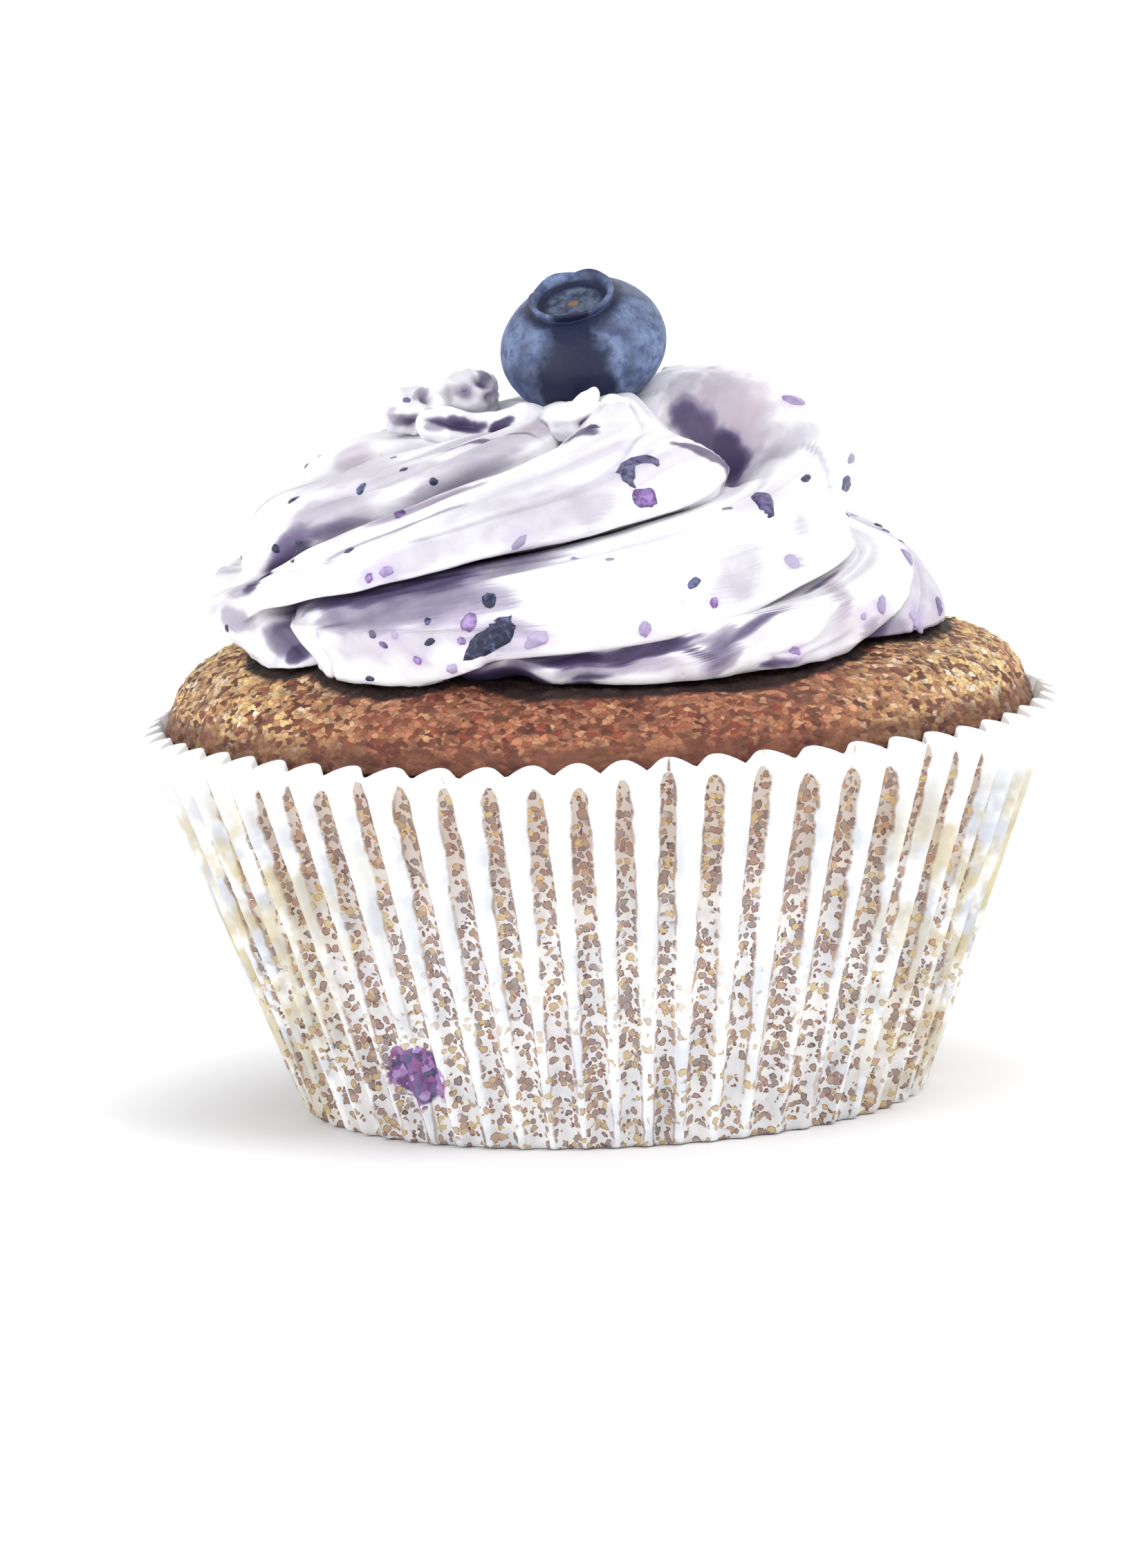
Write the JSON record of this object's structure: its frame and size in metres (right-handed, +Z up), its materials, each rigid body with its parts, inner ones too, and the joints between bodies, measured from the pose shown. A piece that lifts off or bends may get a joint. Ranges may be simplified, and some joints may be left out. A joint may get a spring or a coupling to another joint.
{
  "type": "blueberry muffin",
  "caption": "Muffin in a fluted paper case, topped with a piped swirl of pale lilac berry cream and a whole blueberry; stands on its flat base.",
  "frame": {"origin": "middle of the underside of the paper case, on the surface that it stands on", "axes": "+Z up through the muffin, -Y towards the front that the picture shows, +X to the right"},
  "size_m": [0.0746, 0.0751, 0.0679],
  "materials": {
    "case_paper": "matt white baking paper, stained brown where the cake touches it",
    "cake_crust": "baked brown crust with a fine rough crumb",
    "berry_cream": "soft satin cream, pale lilac with bits of berry skin",
    "berry_skin": "dark blue skin with a pale waxy bloom"
  },
  "bodies": {
    "root": {"paper_case": "case_paper", "muffin": "cake_crust", "frosting": "berry_cream", "blueberry": "berry_skin"}
  },
  "joints": []
}
